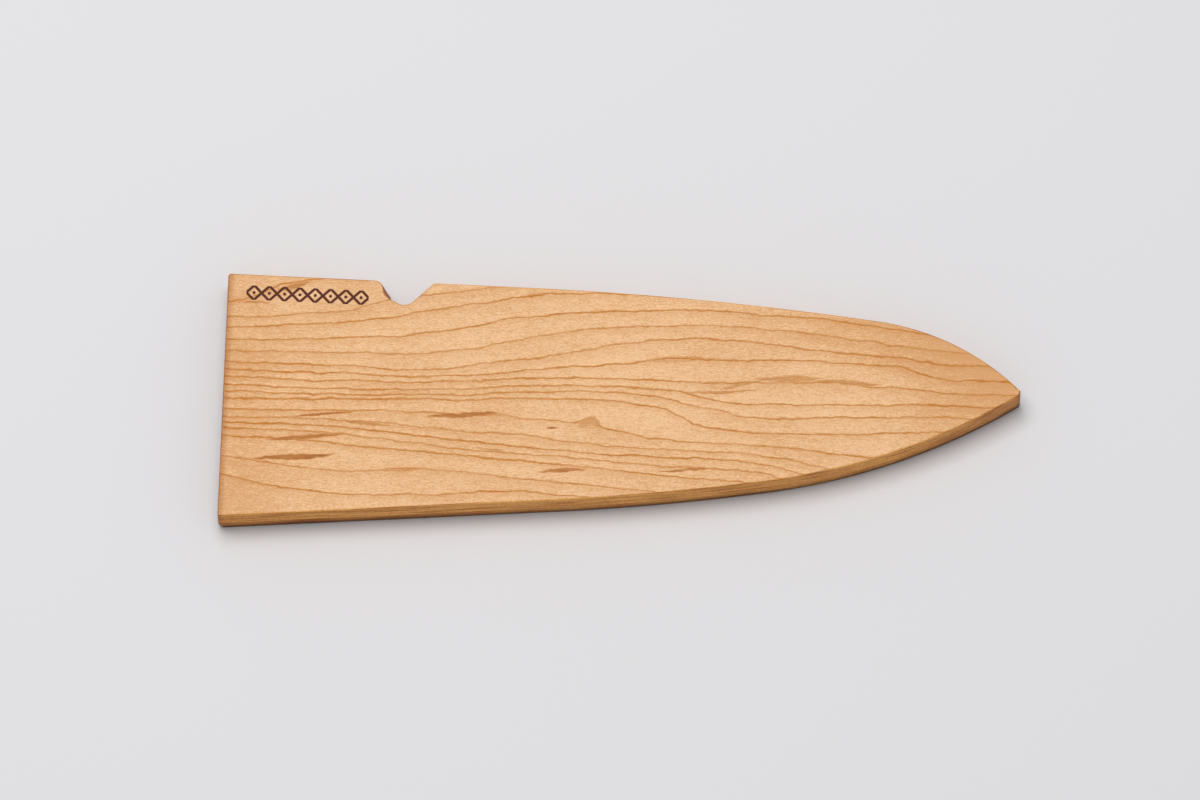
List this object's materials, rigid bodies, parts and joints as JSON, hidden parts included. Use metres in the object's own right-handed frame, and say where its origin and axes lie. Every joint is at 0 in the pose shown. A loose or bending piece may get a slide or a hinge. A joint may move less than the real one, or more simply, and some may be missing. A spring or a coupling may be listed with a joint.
{
  "type": "knife blade guard",
  "caption": "Wooden slip-on guard for a chef's knife: tapered flat case open at one end, with a thumb notch in the spine and hidden magnets that hold the blade.",
  "frame": {"origin": "centre of the outline's bounding box, on the back face that it rests on", "axes": "+X from the mouth towards the tip, +Y from the cutting edge side towards the spine, +Z out of the front face"},
  "size_m": [0.2286, 0.0737, 0.011],
  "materials": {
    "front_wood": "sanded and oiled, satin, pale orange-tan with fine flat-sawn rings",
    "back_wood": "sanded and oiled, satin, same wood as the front board",
    "magnet": "bright nickel plate"
  },
  "bodies": {
    "root": {"front_board": "front_wood", "back_board": "back_wood", "magnet_heel": "magnet", "magnet_middle": "magnet", "magnet_tip": "magnet"}
  },
  "joints": []
}
